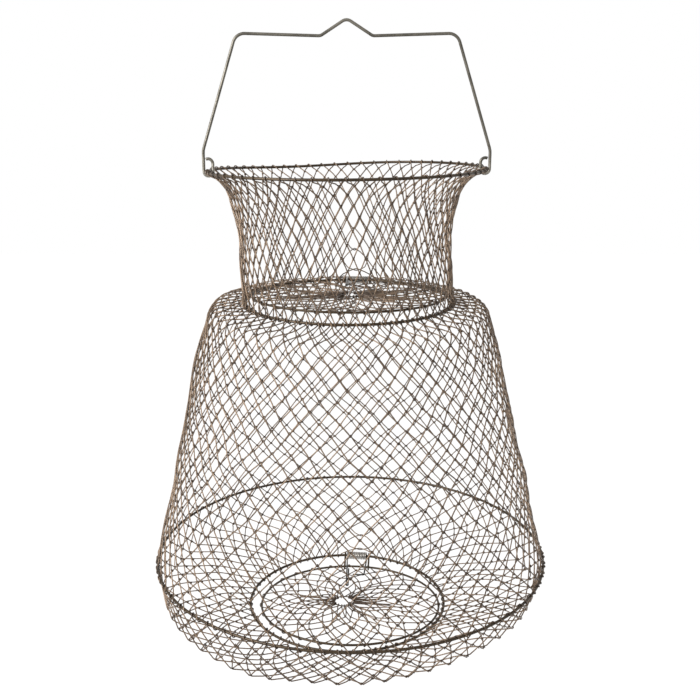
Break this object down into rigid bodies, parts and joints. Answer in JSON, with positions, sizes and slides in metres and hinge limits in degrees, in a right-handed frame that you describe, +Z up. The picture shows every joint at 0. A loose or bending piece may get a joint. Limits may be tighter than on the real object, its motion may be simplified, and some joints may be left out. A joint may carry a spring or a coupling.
{
  "type": "fishing keepnet",
  "caption": "Collapsible wire fish keepnet: a diamond-mesh tube strung on wire rings, with sprung doors in its neck and base, hung from a swinging wire bail with a peak.",
  "frame": {"origin": "the point under the peak of the bail, where a hook or a line carries the hanging basket", "axes": "+Z up along the basket's axis, +X along the bail's crossbar, +Y to the back, where the hinges of the doors stand a little towards +X, so the picture looks along +Y"},
  "size_m": [0.3347, 0.336, 0.5003],
  "materials": {
    "bail_wire": "dark drawn steel wire, slightly dull",
    "ring_wire": "dark bronze lacquer on steel wire",
    "mesh_wire": "brown lacquer on thin steel wire",
    "spring_wire": "bare spring wire"
  },
  "bodies": {
    "handle": {"bail": "bail_wire"},
    "mouth": {"top_ring": "ring_wire", "neck_net": "mesh_wire"},
    "neck": {"neck_ring": "ring_wire", "body_net": "mesh_wire"},
    "belly": {"big_ring": "ring_wire", "base_net": "mesh_wire"},
    "base": {"base_ring": "ring_wire"},
    "neck_door": {"neck_door_ring": "ring_wire", "neck_door_net": "mesh_wire", "neck_door_eye": "ring_wire", "neck_door_link_left": "ring_wire", "neck_door_link_right": "ring_wire", "neck_door_spring": "spring_wire"},
    "base_door": {"base_door_ring": "ring_wire", "base_door_net": "mesh_wire", "base_door_eye": "ring_wire", "base_door_link_left": "ring_wire", "base_door_link_right": "ring_wire", "base_door_spring": "spring_wire"}
  },
  "joints": [
    {"name": "bail_swing", "type": "hinge", "parent": "handle", "child": "mouth", "pos_m": [0, 0, -0.1133], "axis": [1, 0, 0], "range_deg": [-60, 60]},
    {"name": "neck_collapse", "type": "slide", "parent": "mouth", "child": "neck", "axis": [0, 0, 1], "range_m": [0, 0.096], "deforming": ["neck_net"]},
    {"name": "body_collapse", "type": "slide", "parent": "neck", "child": "belly", "axis": [0, 0, 1], "range_m": [0, 0.21], "deforming": ["body_net"]},
    {"name": "base_collapse", "type": "slide", "parent": "belly", "child": "base", "axis": [0, 0, 1], "range_m": [0, 0.045], "deforming": ["base_net"]},
    {"name": "neck_door_hinge", "type": "hinge", "parent": "neck", "child": "neck_door", "pos_m": [0.00793, 0.08386, -0.2155], "axis": [-0.9956, 0.0941, 0], "range_deg": [-80, 0], "stiffness_Nm_per_rad": 0.05, "springref_deg": 34.38},
    {"name": "base_door_hinge", "type": "hinge", "parent": "base", "child": "base_door", "pos_m": [0.00793, 0.08386, -0.4865], "axis": [-0.9956, 0.0941, 0], "range_deg": [-80, 0], "stiffness_Nm_per_rad": 0.05, "springref_deg": 34.38}
  ]
}
